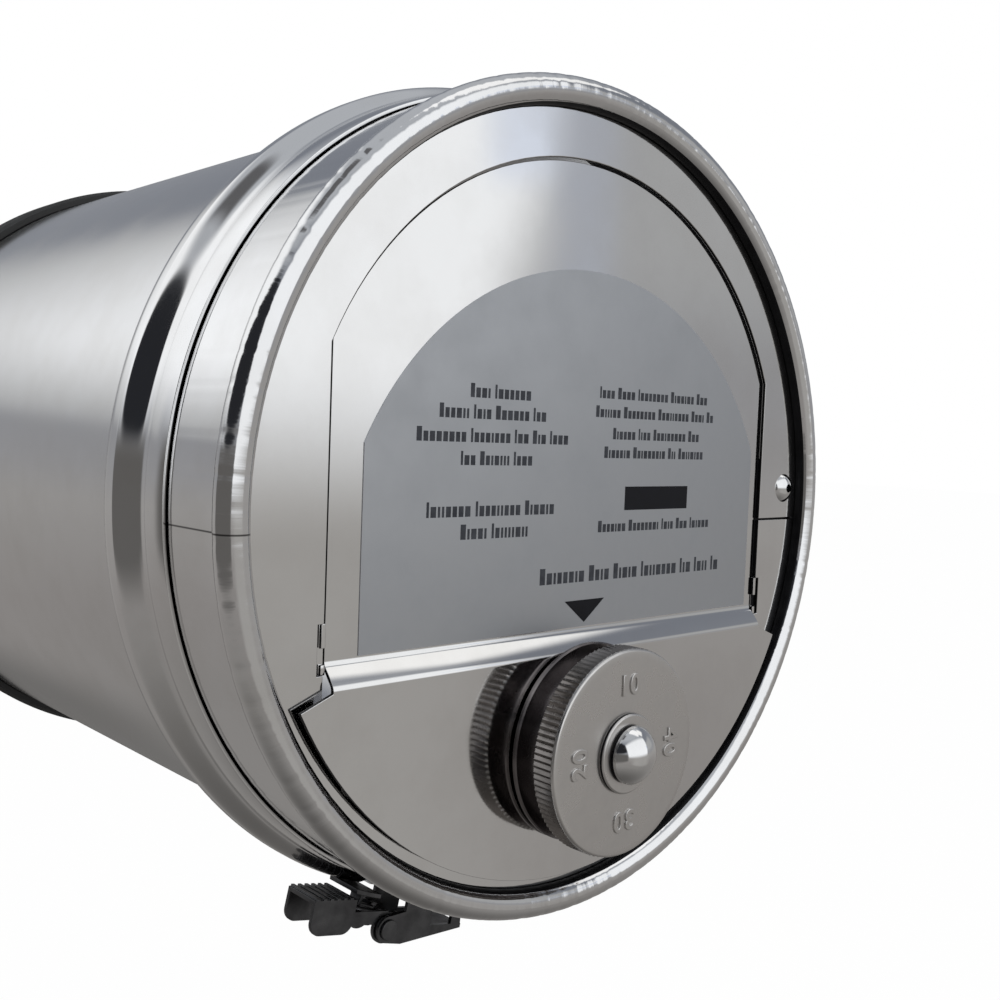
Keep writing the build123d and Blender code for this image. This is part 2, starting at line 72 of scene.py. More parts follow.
# Tube, seal and body
spigot_r = mounts["spigot"]["dims"]["r_mm"] * MM
spigot_length = mounts["spigot"]["dims"]["length_mm"] * MM
wall = spigot_r - mounts["flue_bore"]["dims"]["r_mm"] * MM
swage = 1.0 * MM
tube_r = spigot_r + swage
flange_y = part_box("flue_tube")[0].y
flange_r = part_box("flue_tube")[1].x
seal_ribs = 3
seal_groove = 0.7 * MM
seal_clearance = 0.05 * MM
bead_r = 2.7 * MM
bead_overhang = 1.1 * MM
bead_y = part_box("regulator_body")[0].y + bead_r
bead_ring_r = tube_r + bead_overhang - bead_r
bead_lap = radians(112)
seam_z = -3.0 * MM
seam_width = 0.06 * MM
seam_fade = 0.2 * MM
round_steps = 256
bead_steps = 900

# Creases across the bead: fine ones in its finish and dents in its form. Places, spacings and widths of the
# dents are angles round the bead, and a pair gives the least and the most.
crease_depth = 0.014 * MM
dent_spacing = (0.018, 0.075)
dent_width = (0.004, 0.012)
dent_depth = (0.015 * MM, 0.085 * MM)
deep_dents = (radians(41), radians(45))
deep_dent_width = 0.0035
deep_dent_depth = 0.2 * MM

# Clamp band
crest_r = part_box("clamp_band")[1].x
band_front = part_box("clamp_band")[0].y
band_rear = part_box("clamp_band")[1].y
band_wall = 0.6 * MM
band_front_lip = 0.8 * MM
band_rear_lip = 0.9 * MM
band_cone_rise = 0.65 * MM
band_groove_depth = 0.35 * MM
band_groove_front = 5.0 * MM
band_groove_rear = 2.0 * MM
band_crest_start = 2.5 * MM
band_crest_end = 4.0 * MM
band_front_rise = 0.35
band_rear_fall = 0.25
band_curve_parts = 14
latch_angle = radians(13)
band_split_start = 6.5 * MM
band_split_width = 3.0 * MM

# Face and flap
face_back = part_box("face_plate")[1].y
rim_drop = 1.0 * MM
fold_bulge = 0.07 * MM
fold_strips = 10
flat_gap = 0.01 * MM
bracket_shade_z = -16.0 * MM

# Knob
knob_low, knob_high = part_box("weight_knob")
knob_z = (knob_low.z + knob_high.z) / 2
knob_r = knob_high.x
knob_front = knob_low.y
knob_back = knob_high.y
knob_flange_r = 18.6 * MM
knob_flange = 1.0 * MM
knob_lip = 0.25 * MM
knob_waist_r = 16.4 * MM
knob_waist = 4.4 * MM
knob_nose = 0.6 * MM
knob_dish_margin = 0.9 * MM
knob_teeth = 104
knurl_back = knob_back - knob_flange - knob_waist
knurl_length = knurl_back - knob_front - knob_nose
knurl_depth = 0.45 * MM
knurl_edge = 0.5 * MM
knurl_edge_length = 0.4 * MM
knurl_margin = 0.1 * MM
collar_r = knob_r - 0.12 * MM
collar_round = 0.5 * MM
collar_round_parts = 5
number_ring_r = 12.3 * MM
number_size = 5.1 * MM
number_height = 0.06 * MM
number_weight = 0.05 * MM
number_edge = 0.14 * MM
number_sunk = 0.1 * MM
number_spacing = 1.15

# Washer, domed nut, stud and rivet
washer_edge = 0.3 * MM
cap_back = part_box("knob_cap")[1].y
cap_rim = 1.2 * MM
cap_neck = 0.35 * MM
cap_neck_length = 0.5 * MM
cap_neck_end = 0.6 * MM
cap_shade = 0.7 * MM
cap_bore_depth = 2.65 * MM
thread_r = 3.0 * MM
thread_pitch = 1.0 * MM
thread_depth = 0.45 * MM
thread_clearance = 0.05 * MM
rivet_low, rivet_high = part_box("bracket_rivet")
rivet_axis = ((rivet_low.x + rivet_high.x) / 2, (rivet_low.z + rivet_high.z) / 2)
rivet_head_r = 3.15 * MM
rivet_head = 1.5 * MM
rivet_shank_r = 2.0 * MM
rivet_hole_r = 0.95 * MM
rivet_hole_depth = 0.9 * MM
mandrel_rise = 0.3 * MM
mandrel_edge_rise = 0.25 * MM

# Print
label_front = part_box("label_plate")[0].y
ink = 0.012 * MM
ink_y = label_front - 0.004 * MM
pointer = (2.1 * MM, ink_y, -19.7 * MM)
pointer_r = 4.6 * MM
pointer_stretch = (1.38, 1, 0.62)
dark_field = (12.4, 32.0, -1.5, 3.1)

# Edges
turned_edge = 0.1 * MM
sheet_edge = 0.12 * MM
latch_edge = 0.16 * MM
band_edge = 0.18 * MM
seal_edge = 0.3 * MM
nut_edge = 0.3 * MM
bevel_angle = radians(40)
edge_slope = 0.3
merge_gap = 0.5e-6


# Modelling by hand

def select_only(piece):
    bpy.ops.object.select_all(action="DESELECT")
    piece.select_set(True)
    bpy.context.view_layer.objects.active = piece


def new_piece(name):
    """The object that the last primitive made, under its own name."""
    piece = bpy.context.object
    piece.name = name
    piece.data.name = name
    return piece


def settle():
    """Applies the place, turn and scale of the selected object to its mesh."""
    bpy.ops.object.transform_apply(location=True, rotation=True, scale=True)


def edit_all():
    """Opens the active piece in edit mode with all of it selected."""
    bpy.ops.object.mode_set(mode="EDIT")
    bpy.ops.mesh.select_all(action="SELECT")


def draw_outline(name, points, centre=(0.0, 0.0)):
    """A line of vertices beside the turning axis, drawn by extruding one vertex from point to point."""
    bpy.ops.object.select_all(action="DESELECT")
    bpy.ops.mesh.primitive_plane_add(size=wall)
    piece = new_piece(name)
    edit_all()
    bpy.ops.mesh.merge(type="CENTER")
    places = [Vector((centre[0] + r, y, centre[1])) for r, y in points]
    bpy.ops.transform.translate(value=places[0])
    for here, there in zip(places, places[1:]):
        bpy.ops.mesh.extrude_vertices_move(TRANSFORM_OT_translate={"value": there - here})
    return piece


def spin_outline(steps, centre=(0.0, 0.0), turn=2 * pi):
    """Turns the drawn line about an axis along Y and closes the seam."""
    bpy.ops.mesh.select_all(action="SELECT")
    bpy.ops.mesh.remove_doubles(threshold=merge_gap)
    bpy.ops.mesh.spin(steps=steps, angle=turn, center=(centre[0], 0, centre[1]), axis=(0, 1, 0))
    bpy.ops.mesh.select_all(action="SELECT")
    bpy.ops.mesh.remove_doubles(threshold=merge_gap)
    bpy.ops.mesh.normals_make_consistent(inside=False)


def lathe(name, points, steps=round_steps, centre=(0.0, 0.0)):
    """A round piece from its closed or axis-to-axis outline of radius and length."""
    piece = draw_outline(name, points, centre)
    spin_outline(steps, centre)
    bpy.ops.object.mode_set(mode="OBJECT")
    return piece


def smooth(piece, angle=35.0):
    """Smooth shading over edges that turn by less than the angle, in degrees."""
    select_only(piece)
    bpy.ops.object.shade_smooth_by_angle(angle=radians(angle))
    return piece


def soften(piece, width, segments=2):
    """Small round edges on a piece, and smooth shading."""
    select_only(piece)
    bevel = piece.modifiers.new("edges", "BEVEL")
    bevel.width = width
    bevel.segments = segments
    bevel.limit_method = "ANGLE"
    bevel.angle_limit = bevel_angle
    bpy.ops.object.modifier_apply(modifier="edges")
    smooth(piece)
    weigh = piece.modifiers.new("flat faces", "WEIGHTED_NORMAL")
    weigh.keep_sharp = True
    bpy.ops.object.modifier_apply(modifier="flat faces")
    return piece


def pressed_copy(node, width, reshape=None):
    """A pressed or cut piece in the frame's own form, with whole flat faces and softened edges."""
    select_only(nodes[node])
    bpy.ops.object.duplicate()
    piece = new_piece(f"{node}_finished")
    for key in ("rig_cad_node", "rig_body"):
        del piece[key]
    edit_all()
    bpy.ops.mesh.remove_doubles(threshold=merge_gap)
    bpy.ops.mesh.dissolve_limited(angle_limit=radians(0.5))
    bpy.ops.object.mode_set(mode="OBJECT")
    if reshape:
        reshape(piece)
    return soften(piece, width)


def round_fold(piece):
    """Bulges the flap's sloping fold a little, so that it turns softly into the lower flap."""
    sides = piece.data.polygons
    slopes = [side for side in sides if -0.9 < side.normal.y < -0.5 and side.normal.z > 0.4]
    slope = max(slopes, key=lambda side: side.area)
    heights = [piece.data.vertices[i].co.z for i in slope.vertices]
    low, high = min(heights), max(heights)
    out = slope.normal.copy()
    level = slope.center.dot(out)
    for strip in range(1, fold_strips):
        bpy.ops.object.mode_set(mode="EDIT")
        bpy.ops.mesh.select_all(action="DESELECT")
        bpy.ops.object.mode_set(mode="OBJECT")
        for side in piece.data.polygons:
            side.select = side.normal.dot(out) > 0.999 and abs(side.center.dot(out) - level) < sheet_edge
        bpy.ops.object.mode_set(mode="EDIT")
        cut_z = low + (high - low) * strip / fold_strips
        bpy.ops.mesh.bisect(plane_co=(0, 0, cut_z), plane_no=(0, 0, 1))
    bpy.ops.object.mode_set(mode="OBJECT")
    for vertex in piece.data.vertices:
        along = (vertex.co.z - low) / (high - low)
        if 0.01 < along < 0.99 and abs(vertex.co.dot(out) - level) < flat_gap:
            vertex.co += out * (4 * fold_bulge * along * (1 - along))


def arc(centre, radius, start, end, count):
    """Points on a round stretch of an outline."""
    turns = [start + (end - start) * i / count for i in range(count + 1)]
    return [(centre[0] + radius * cos(t), centre[1] + radius * sin(t)) for t in turns]


def dome(top_y, rim_r, height, end_r, count):
    """Points on a round crown, from its rim up to a radius near its top."""
    ball = (rim_r**2 + height**2) / (2 * height)
    lean = atan2(rim_r, ball - height)
    end = atan2(end_r, sqrt(ball**2 - end_r**2))
    turns = [lean + (end - lean) * i / count for i in range(count + 1)]
    return [(ball * sin(t), top_y + ball - ball * cos(t)) for t in turns]


def sweep_between(start, end, leave, arrive, count):
    """Points on a smooth stretch between two points, with its directions at both ends."""
    points = []
    for i in range(1, count):
        t = i / count
        a, b = 2 * t**3 - 3 * t**2 + 1, t**3 - 2 * t**2 + t
        c, d = 3 * t**2 - 2 * t**3, t**3 - t**2
        points.append(tuple(a * p + b * m + c * q + d * n for p, m, q, n in zip(start, leave, end, arrive)))
    return points


# Tube, seal and body

def make_tube():
    step = spigot_length + wall
    inner = tube_r - wall
    outline = [
        (spigot_r, 0), (spigot_r, -spigot_length), (tube_r, -step), (tube_r, flange_y + 2 * wall),
        (tube_r + wall, flange_y + wall), (flange_r, flange_y + wall), (flange_r, flange_y),
        (inner + wall, flange_y), (inner, flange_y + wall), (inner, -step - wall),
        (spigot_r - wall, -step + wall), (spigot_r - wall, 0),
    ]
    return soften(lathe("flue_tube_shell", outline + outline[:1]), turned_edge)


def make_seal():
    """The seal ring with its round ribs."""
    low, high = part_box("spigot_seal")
    inner = tube_r + seal_clearance
    ground = high.x - seal_groove
    rib = (high.y - low.y) / (4 * seal_ribs)
    outline = [(inner, high.y), (inner, low.y), (ground, low.y)]
    for i in range(seal_ribs):
        foot = low.y + 4 * i * rib
        outline += [(ground, foot + rib / 2), (high.x, foot + 1.5 * rib)]
        outline += [(high.x, foot + 2.5 * rib), (ground, foot + 3.5 * rib)]
    outline += [(ground, high.y)]
    return soften(lathe("spigot_seal_ring", outline + outline[:1]), seal_edge, 3)


def bead_dents():
    """Places, widths and depths of the small creases that rolling leaves across the bead."""
    rng = random.Random(7)
    dents = []
    turn = -pi
    while turn < pi:
        turn += rng.uniform(*dent_spacing)
        dents.append((turn, rng.uniform(*dent_width), rng.uniform(*dent_depth)))
    return dents + [(turn, deep_dent_width, deep_dent_depth) for turn in deep_dents]


def make_body():
    """The sleeve with its rolled bead: the wall runs out to the bead, round it and back under itself."""
    lap = bead_lap - 2 * pi
    ring = (bead_ring_r, bead_y)
    roll = bead_r - wall
    inner = tube_r - wall
    leave = atan2(sqrt(bead_r**2 - (tube_r - bead_ring_r) ** 2), tube_r - bead_ring_r)
    leave_inner = atan2(sqrt(roll**2 - (inner - bead_ring_r) ** 2), inner - bead_ring_r)
    outline = [
        (inner, flange_y), (flange_r, flange_y), (flange_r, flange_y - wall),
        (tube_r + wall, flange_y - wall), (tube_r, flange_y - 2 * wall),
    ]
    outline += arc(ring, bead_r, leave, lap, 36)
    outline += arc(ring, roll, lap, leave_inner, 24)
    body = lathe("regulator_body_shell", outline + outline[:1], bead_steps)
    dents = bead_dents()
    for vertex in body.data.vertices:
        x, y, z = vertex.co
        r = hypot(x, z)
        out_r, out_y = r - bead_ring_r, y - bead_y
        reach = hypot(out_r, out_y)
        if abs(reach - bead_r) > 2 * merge_gap:
            continue
        turn = atan2(z, -x)
        depth = 0.0
        for place, width, dent in dents:
            gap = (turn - place) / width
            if abs(gap) < 3:
                depth += dent * exp(-gap * gap)
        depth *= 0.5 + 0.5 * max(0.0, out_r / bead_r)
        fall = (bead_r - depth) / reach
        new_r = bead_ring_r + out_r * fall
        vertex.co = Vector((x * new_r / r, bead_y + out_y * fall, z * new_r / r))
    return smooth(body, 40)


# Clamp band

def band_line():
    """The band's outer line, from its front lip over the groove and crest to its rear lip."""
    lip_front, lip_rear = tube_r + band_front_lip, tube_r + band_rear_lip
    ridge_r = lip_front + band_cone_rise
    front_ridge, rear_ridge = flange_y - band_groove_front, flange_y - band_groove_rear
    groove = (ridge_r - band_groove_depth, (front_ridge + rear_ridge) / 2)
    foot = (ridge_r, rear_ridge)
    crest_front = (crest_r, flange_y + band_crest_start)
    crest_rear = (crest_r, flange_y + band_crest_end)
    end = (lip_rear, band_rear)
    rise = crest_front[1] - rear_ridge
    fall = band_rear - crest_rear[1]
    line = [(lip_front, band_front), (ridge_r, front_ridge), groove, foot]
    line += sweep_between(foot, crest_front, (band_front_rise * rise, rise), (0, rise), band_curve_parts)
    line += [crest_front, crest_rear]
    line += sweep_between(crest_rear, end, (0, fall), (-band_rear_fall * fall, fall), band_curve_parts)
    return line + [end]


def make_band():
    """The band, turned nearly all the way round, with its gap beside the latch."""
    outer = band_line()
    inner = [(r - band_wall, y) for r, y in reversed(outer)]
    band = draw_outline("clamp_band_shell", outer + inner + outer[:1])
    gap = band_split_width / crest_r
    start = -pi / 2 - latch_angle - band_split_start / crest_r
    bpy.ops.mesh.select_all(action="SELECT")
    bpy.ops.transform.rotate(value=start - gap, orient_axis="Y", center_override=(0, 0, 0))
    spin_outline(round_steps, turn=2 * pi - gap)
    bpy.ops.mesh.fill_holes(sides=0)
    bpy.ops.mesh.normals_make_consistent(inside=False)
    bpy.ops.object.mode_set(mode="OBJECT")
    return soften(band, band_edge)


# Counterweight

def pull(distance, scale=1.0):
    """Extrudes the selected round face along Y and scales it about the knob's axis."""
    bpy.ops.mesh.extrude_region_move(TRANSFORM_OT_translate={"value": (0, distance, 0)})
    if scale != 1.0:
        bpy.ops.transform.resize(value=(scale, 1, scale), center_override=(0, 0, knob_z))


def make_knob():
    """The knob, pulled up step by step from its rear face, with straight knurling."""
    flange_edge_r = knob_flange_r - knob_lip
    knurl_start_r = knob_r - knurl_edge
    bpy.ops.object.select_all(action="DESELECT")
    bpy.ops.mesh.primitive_circle_add(vertices=4 * knob_teeth, radius=flange_edge_r, fill_type="NGON",
                                      location=(0, knob_back, knob_z), rotation=upright)
    knob = new_piece("weight_knob_knurled")
    settle()
    edit_all()
    pull(-knob_lip, knob_flange_r / flange_edge_r)
    pull(-(knob_flange - 2 * knob_lip))
    pull(-knob_lip, flange_edge_r / knob_flange_r)
    pull(0, knob_waist_r / flange_edge_r)
    pull(-knob_waist)
    pull(0, knurl_start_r / knob_waist_r)
    pull(-knurl_edge_length, knob_r / knurl_start_r)
    pull(-(knurl_length - knurl_edge_length))
    pull(0, collar_r / knob_r)
    pull(-(knob_nose - collar_round))
    here_r, here_turn = collar_r, 0.0
    for part in range(1, collar_round_parts + 1):
        turn = pi / 2 * part / collar_round_parts
        next_r = collar_r - collar_round * (1 - cos(turn))
        pull(-collar_round * (sin(turn) - sin(here_turn)), next_r / here_r)
        here_r, here_turn = next_r, turn
    bpy.ops.mesh.inset(thickness=knob_dish_margin)
    bpy.ops.mesh.select_all(action="SELECT")
    bpy.ops.mesh.normals_make_consistent(inside=False)
    bpy.ops.object.mode_set(mode="OBJECT")
    ridge = 2 * pi / knob_teeth
    for vertex in knob.data.vertices:
        x, y, z = vertex.co
        if hypot(x, z - knob_z) < knob_r - knurl_margin:
            continue
        phase = (atan2(z - knob_z, x) / ridge) % 1.0
        depth = knurl_depth * (0.5 - 0.5 * cos(2 * pi * phase))
        scale = 1 - depth / knob_r
        vertex.co = Vector((x * scale, y, knob_z + (z - knob_z) * scale))
    return smooth(knob, 28)


def make_dial_numbers():
    """The four plain numbers round the dial, each with its top outwards."""
    made = []
    for place, words in enumerate(("10", "20", "30", "40")):
        turn = place * pi / 2
        bpy.ops.object.select_all(action="DESELECT")
        bpy.ops.object.text_add()
        text = bpy.context.object
        text.data.body = words
        text.data.size = number_size
        text.data.align_x = "CENTER"
        text.data.align_y = "CENTER"
        text.data.extrude = number_height
        text.data.offset = number_weight
        text.data.bevel_depth = number_edge
        text.data.bevel_resolution = 2
        text.data.space_character = number_spacing
        bpy.ops.object.convert(target="MESH")
        across, rise = -number_ring_r * sin(turn), number_ring_r * cos(turn)
        at = Vector((across, knob_front - number_sunk, knob_z + rise))
        turned = Matrix.Rotation(pi / 2, 4, "X") @ Matrix.Rotation(turn, 4, "Z")
        text.matrix_world = Matrix.Translation(at) @ turned
        settle()
        made.append(text)
    bpy.ops.object.select_all(action="DESELECT")
    for text in made:
        text.select_set(True)
    bpy.context.view_layer.objects.active = made[0]
    bpy.ops.object.join()
    return smooth(new_piece("dial_numbers"), 50)


def make_washer():
    low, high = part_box("knob_washer")
    r = high.x
    bore = thread_r + thread_clearance
    front_edge = [(r, low.y + washer_edge), (r - washer_edge, low.y)]
    outline = [(bore, high.y), (r, high.y)] + front_edge + [(bore, low.y)]
    return soften(lathe("knob_washer_turned", outline + outline[:1], 128, (0, knob_z)), turned_edge)


def make_cap():
    """The domed nut: a short rim with a neck groove and a full round crown."""
    low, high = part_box("knob_cap")
    r = high.x
    neck_r = r - cap_neck
    bore = thread_r + thread_clearance
    bore_end = high.y - cap_bore_depth
    crown = high.y - cap_rim - low.y
    outline = [
        (0, bore_end), (bore, bore_end), (bore, high.y), (neck_r, high.y),
        (neck_r, high.y - cap_neck_length), (r, high.y - cap_neck_end),
    ]
    outline += dome(low.y, r, crown, 0.0, 20)
    return smooth(lathe("knob_cap_domed", outline, 96, (0, knob_z)), 40)


def make_stud():
    """The stud with its thread, screwed up from one tooth."""
    low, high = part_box("weight_stud")
    root = thread_r - thread_depth
    flank = 0.4 * thread_pitch
    crest = 0.1 * thread_pitch
    tooth = [(root, 0), (thread_r, flank), (thread_r, flank + crest), (root, 2 * flank + crest)]
    tooth += [(root, thread_pitch)]
    stud = draw_outline("weight_stud_threaded", [(r, low.y + thread_pitch + y) for r, y in tooth])
    bpy.ops.object.mode_set(mode="OBJECT")
    select_only(stud)
    screw = stud.modifiers.new("thread", "SCREW")
    screw.axis = "Y"
    screw.angle = 2 * pi
    screw.screw_offset = thread_pitch
    screw.iterations = int((high.y - low.y) / thread_pitch) - 2
    screw.steps = 32
    screw.render_steps = 32
    screw.use_merge_vertices = True
    bpy.ops.object.modifier_apply(modifier="thread")
    bpy.ops.object.mode_set(mode="EDIT")
    bpy.ops.mesh.primitive_cylinder_add(vertices=48, radius=root + thread_clearance, depth=high.y - low.y,
                                        location=(0, (low.y + high.y) / 2, 0), rotation=upright)
    bpy.ops.mesh.select_all(action="SELECT")
    bpy.ops.transform.translate(value=(0, 0, knob_z))
    bpy.ops.mesh.normals_make_consistent(inside=False)
    bpy.ops.object.mode_set(mode="OBJECT")
    return smooth(stud, 30)


def make_rivet():
    """A blind rivet: a domed head with the sunk end of its mandrel."""
    seat = rivet_low.y + rivet_head
    sunk = rivet_low.y + rivet_hole_depth
    outline = [(0, rivet_high.y), (rivet_shank_r, rivet_high.y), (rivet_shank_r, seat), (rivet_head_r, seat)]
    outline += dome(rivet_low.y, rivet_head_r, rivet_head, rivet_hole_r, 14)
    outline += [(0.95 * rivet_hole_r, sunk), (0.5 * rivet_hole_r, sunk - mandrel_edge_rise)]
    outline += [(0, sunk - mandrel_rise)]
    return smooth(lathe("bracket_rivet_headed", outline, 64, rivet_axis), 40)


# Print on the label: blocks give their left, right, low and high sides in millimetres

def word_row(rng, x_low, x_high, z, height):
    """Small plain blocks in word-like groups that fill a row of the print."""
    blocks = []
    x = x_low
    low = z - height / 2
    while x < x_high:
        tall = height
        for _ in range(rng.randint(3, 9)):
            width = height * rng.choice((0.2, 0.38, 0.42, 0.46))
            if x + width > x_high:
                return blocks
            blocks.append((x, x + width, low, low + tall))
            x += width + 0.14 * height
            tall = 0.7 * height
        x += 0.32 * height
    return blocks


def block_middle(block):
    x_low, x_high, z_low, z_high = block
    return ((x_low + x_high) / 2 * MM, ink_y, (z_low + z_high) / 2 * MM)


def stretch_block(block):
    """Gives a new square of one millimetre the block's width and height."""
    x_low, x_high, z_low, z_high = block
    stretch = (x_high - x_low, 1, z_high - z_low)
    bpy.ops.transform.resize(value=stretch, center_override=block_middle(block))


def print_blocks(blocks):
    """Adds thin blocks of ink to the piece in edit mode and gives all of its print the ink's thickness."""
    for block in blocks:
        bpy.ops.mesh.primitive_plane_add(size=MM, location=block_middle(block), rotation=upright)
        stretch_block(block)
    bpy.ops.mesh.select_all(action="SELECT")
    bpy.ops.mesh.extrude_region_move(TRANSFORM_OT_translate={"value": (0, -ink, 0)})
    bpy.ops.mesh.select_all(action="SELECT")
    bpy.ops.mesh.normals_make_consistent(inside=False)
    bpy.ops.object.mode_set(mode="OBJECT")


def make_print_rows():
    """The rows of print, as small blocks."""
    rng = random.Random(3)
    rows = [
        # left end, right end, middle and height of each row
        (-28.5, -13.8, 19.7, 2.4),
        (-35.2, -8.2, 16.1, 2.4),
        (-39.9, -2.7, 12.1, 2.4),
        (-30.2, -12.1, 8.2, 2.4),
        (4.0, 38.4, 21.0, 2.2),
        (3.1, 39.7, 17.4, 2.2),
        (8.2, 35.6, 13.3, 2.2),
        (5.9, 37.6, 9.7, 2.2),
        (-37.3, -6.7, -0.5, 2.6),
        (-29.7, -13.7, -4.4, 2.6),
        (5.0, 40.5, -4.5, 2.2),
        (-10.2, 44.2, -13.3, 3.0),
    ]
    blocks = []
    for x_low, x_high, z, height in rows:
        blocks += word_row(rng, x_low, x_high, z, height)
    bpy.ops.object.select_all(action="DESELECT")
    bpy.ops.mesh.primitive_plane_add(size=MM, location=block_middle(blocks[0]), rotation=upright)
    rows_piece = new_piece("label_print_rows")
    settle()
    edit_all()
    stretch_block(blocks[0])
    print_blocks(blocks[1:])
    return rows_piece


def make_print_fields():
    """The dark field and the pointer above the dial."""
    bpy.ops.object.select_all(action="DESELECT")
    bpy.ops.mesh.primitive_circle_add(vertices=3, radius=pointer_r, fill_type="NGON", location=pointer,
                                      rotation=(pi / 2, pi, 0))
    fields = new_piece("label_print_fields")
    settle()
    edit_all()
    bpy.ops.transform.resize(value=pointer_stretch, center_override=pointer)
    print_blocks([dark_field])
    return fields


# Materials

def put(tree, kind, inputs=None, **settings):
    """A node with its settings, and its inputs either linked from a socket or set to a value."""
    made = tree.nodes.new(kind)
    for key, value in settings.items():
        setattr(made, key, value)
    for key, value in (inputs or {}).items():
        if isinstance(value, bpy.types.NodeSocket):
            tree.links.new(value, made.inputs[key])
        else:
            made.inputs[key].default_value = value
    return made


def maths(tree, operation, *values):
    """The result of one step of arithmetic on sockets and numbers."""
    return put(tree, "ShaderNodeMath", dict(enumerate(values)), operation=operation).outputs[0]


def spread(tree, value, low, high, to_low=0.0, to_high=1.0, **settings):
    """A value mapped from one stretch onto another, and held at its ends."""
    ends = {"Value": value, "From Min": low, "From Max": high, "To Min": to_low, "To Max": to_high}
    return put(tree, "ShaderNodeMapRange", ends, **settings).outputs[0]


def noise(tree, place, scale, detail=2.0, roughness=0.5):
    """The grey value of a noise pattern."""
    pattern = {"Vector": place, "Scale": scale, "Detail": detail, "Roughness": roughness}
    return put(tree, "ShaderNodeTexNoise", pattern).outputs["Fac"]


def blend(tree, share, first, second):
    """A mix of two colours, each a socket or a value."""
    colours = [part if isinstance(part, bpy.types.NodeSocket) else (*part, 1) for part in (first, second)]
    inputs = {"Factor": share, "A": colours[0], "B": colours[1]}
    return put(tree, "ShaderNodeMix", inputs, data_type="RGBA").outputs["Result"]


def ramp(tree, factor, stops):
    """A colour ramp from a list of places and colours."""
    made = put(tree, "ShaderNodeValToRGB", {"Fac": factor})
    elements = made.color_ramp.elements
    while len(elements) < len(stops):
        elements.new(0.5)
    for element, (place, colour) in zip(elements, stops):
        element.position = place
        element.color = (*colour, 1)
    return made.outputs["Color"]


def new_group(name, inputs, outputs):
    """An empty shader group with its named sockets."""
    group = bpy.data.node_groups.new(name, "ShaderNodeTree")
    for socket, kind in inputs.items():
        group.interface.new_socket(socket, in_out="INPUT", socket_type=f"NodeSocket{kind}")
    for socket, kind in outputs.items():
        group.interface.new_socket(socket, in_out="OUTPUT", socket_type=f"NodeSocket{kind}")
    return group, group.nodes.new("NodeGroupInput"), group.nodes.new("NodeGroupOutput")


def rolled_sheet_group():
    """Long waves of the sheet and fine rolling lines as a height, and a mask of handling smudges."""
    group, start, end = new_group(
        "rolled sheet",
        {"Vector": "Vector", "Line Scale": "Vector", "Wave Height": "Float", "Line Height": "Float"},
        {"Height": "Float", "Smudge": "Float"})
    place = start.outputs["Vector"]
    stretched = put(group, "ShaderNodeVectorMath", {0: place, 1: start.outputs["Line Scale"]},
                    operation="MULTIPLY")
    lines = noise(group, stretched.outputs[0], 1.0, 4.0)
    waves = noise(group, place, 22.0, 1.0)
    smudges = noise(group, place, 60.0, 6.0, 0.6)
    line_height = maths(group, "MULTIPLY", lines, start.outputs["Line Height"])
    height = maths(group, "MULTIPLY_ADD", waves, start.outputs["Wave Height"], line_height)
    group.links.new(height, end.inputs["Height"])
    group.links.new(spread(group, smudges, 0.42, 0.72), end.inputs["Smudge"])
    return group


rolled_sheet = rolled_sheet_group()


def new_material(name):
    """A material with its tree, its shader and the piece's own coordinates."""
    made = bpy.data.materials.new(name)
    made.use_nodes = True
    tree = made.node_tree
    shader = tree.nodes["Principled BSDF"]
    place = put(tree, "ShaderNodeTexCoord").outputs["Object"]
    return made, tree, shader, place


def join_finish(tree, shader, metallic, shade, rough, height, strength, distance):
    """Joins a finish's colour, roughness and relief to its shader."""
    bump = put(tree, "ShaderNodeBump", {"Height": height, "Strength": strength, "Distance": distance})
    shader.inputs["Metallic"].default_value = metallic
    tree.links.new(shade, shader.inputs["Base Color"])
    tree.links.new(rough, shader.inputs["Roughness"])
    tree.links.new(bump.outputs[0], shader.inputs["Normal"])


def seam_line(tree, place):
    """A mask of the hairline joint that runs along the left side of the rolled sleeve."""
    parts = put(tree, "ShaderNodeSeparateXYZ", {0: place}).outputs
    away = maths(tree, "ABSOLUTE", maths(tree, "SUBTRACT", parts["Z"], seam_z))
    line = spread(tree, away, seam_fade, seam_width)
    return maths(tree, "MULTIPLY", line, maths(tree, "LESS_THAN", parts["X"], 0.0))


def crease_height(tree, place):
    """The height of the fine creases that rolling leaves across the bead, and of nothing behind it."""
    parts = put(tree, "ShaderNodeSeparateXYZ", {0: place}).outputs
    round_way = maths(tree, "MULTIPLY", maths(tree, "ARCTAN2", parts["Z"], parts["X"]), bead_ring_r)
    across = maths(tree, "MULTIPLY", parts["Y"], 0.25)
    unrolled = put(tree, "ShaderNodeCombineXYZ", {"X": round_way, "Y": across}).outputs[0]
    lines = spread(tree, noise(tree, unrolled, 420.0, 3.0), 0.42, 0.72)
    bead = maths(tree, "LESS_THAN", parts["Y"], bead_y + 0.9 * bead_r)
    return maths(tree, "MULTIPLY", maths(tree, "MULTIPLY", lines, bead), -crease_depth)


